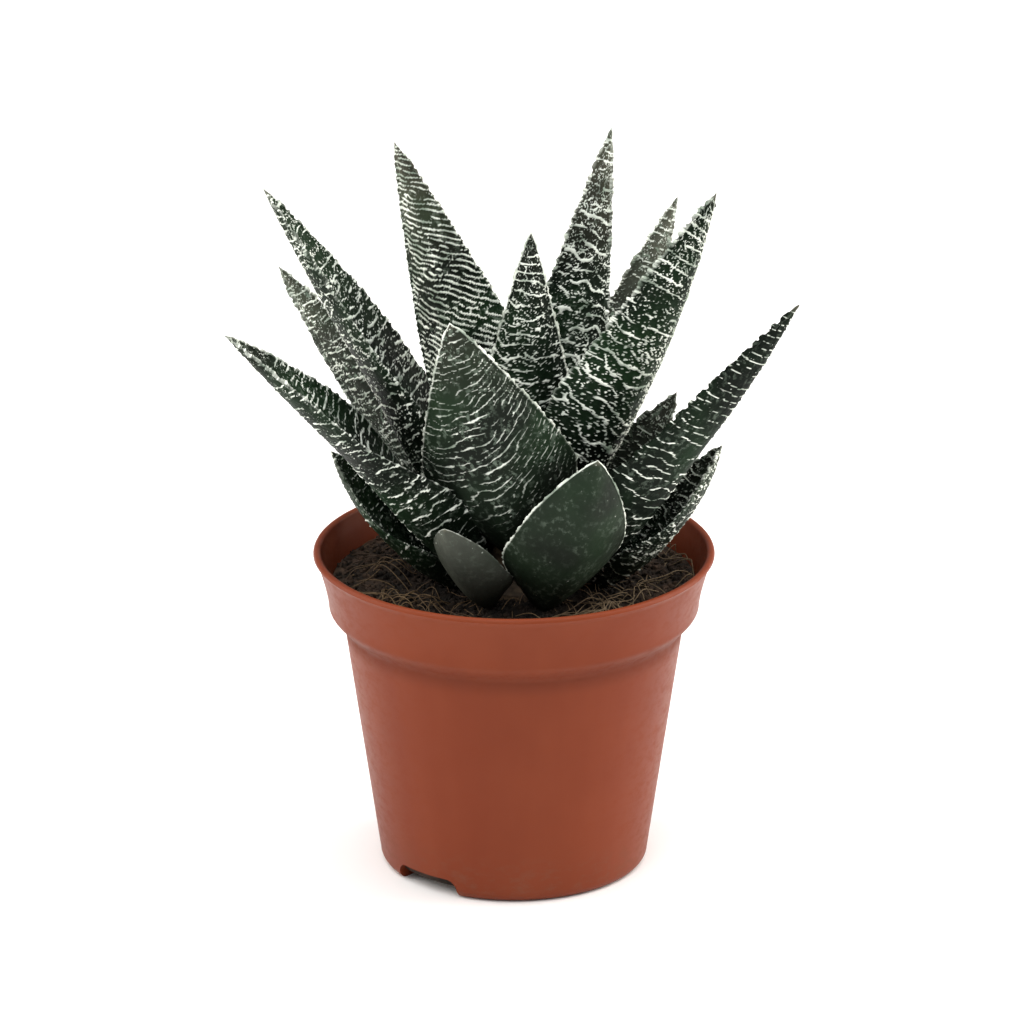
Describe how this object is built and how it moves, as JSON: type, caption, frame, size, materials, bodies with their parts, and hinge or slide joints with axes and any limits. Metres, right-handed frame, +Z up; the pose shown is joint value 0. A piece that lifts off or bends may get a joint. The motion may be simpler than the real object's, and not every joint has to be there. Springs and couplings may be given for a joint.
{
  "type": "potted plant",
  "caption": "Small haworthia rosette of pointed, white-ridged succulent leaves growing in peat in a round flared plastic grower's pot.",
  "frame": {"origin": "centre of the pot's flat base, on the surface the pot stands on", "axes": "+Z up; -Y is the plant's front, the side the wide front leaf leans over; +X is its right side"},
  "size_m": [0.0774, 0.0589, 0.0996],
  "materials": {
    "pot_plastic": "satin moulded",
    "peat": "rough fibrous",
    "root_skin": "matte",
    "leaf_skin": "satin with raised white ridges"
  },
  "bodies": {
    "root": {"grower_pot": "pot_plastic", "peat_soil": "peat", "rootstock": "root_skin", "leaf_left_skirt": "leaf_skin", "leaf_rear_skirt_left": "leaf_skin", "leaf_rear_skirt_right": "leaf_skin", "leaf_right_short": "leaf_skin", "leaf_right_skirt": "leaf_skin", "leaf_front_blunt": "leaf_skin", "leaf_front_small": "leaf_skin", "leaf_left_low": "leaf_skin", "leaf_left_back": "leaf_skin", "leaf_rear_left": "leaf_skin", "leaf_rear_right": "leaf_skin", "leaf_right_low": "leaf_skin", "leaf_right_back": "leaf_skin", "leaf_front_wide": "leaf_skin", "leaf_left_tall": "leaf_skin", "leaf_rear_steep": "leaf_skin", "leaf_back_tall": "leaf_skin", "leaf_back_wide": "leaf_skin", "leaf_right_tall": "leaf_skin", "leaf_heart": "leaf_skin"}
  },
  "joints": []
}
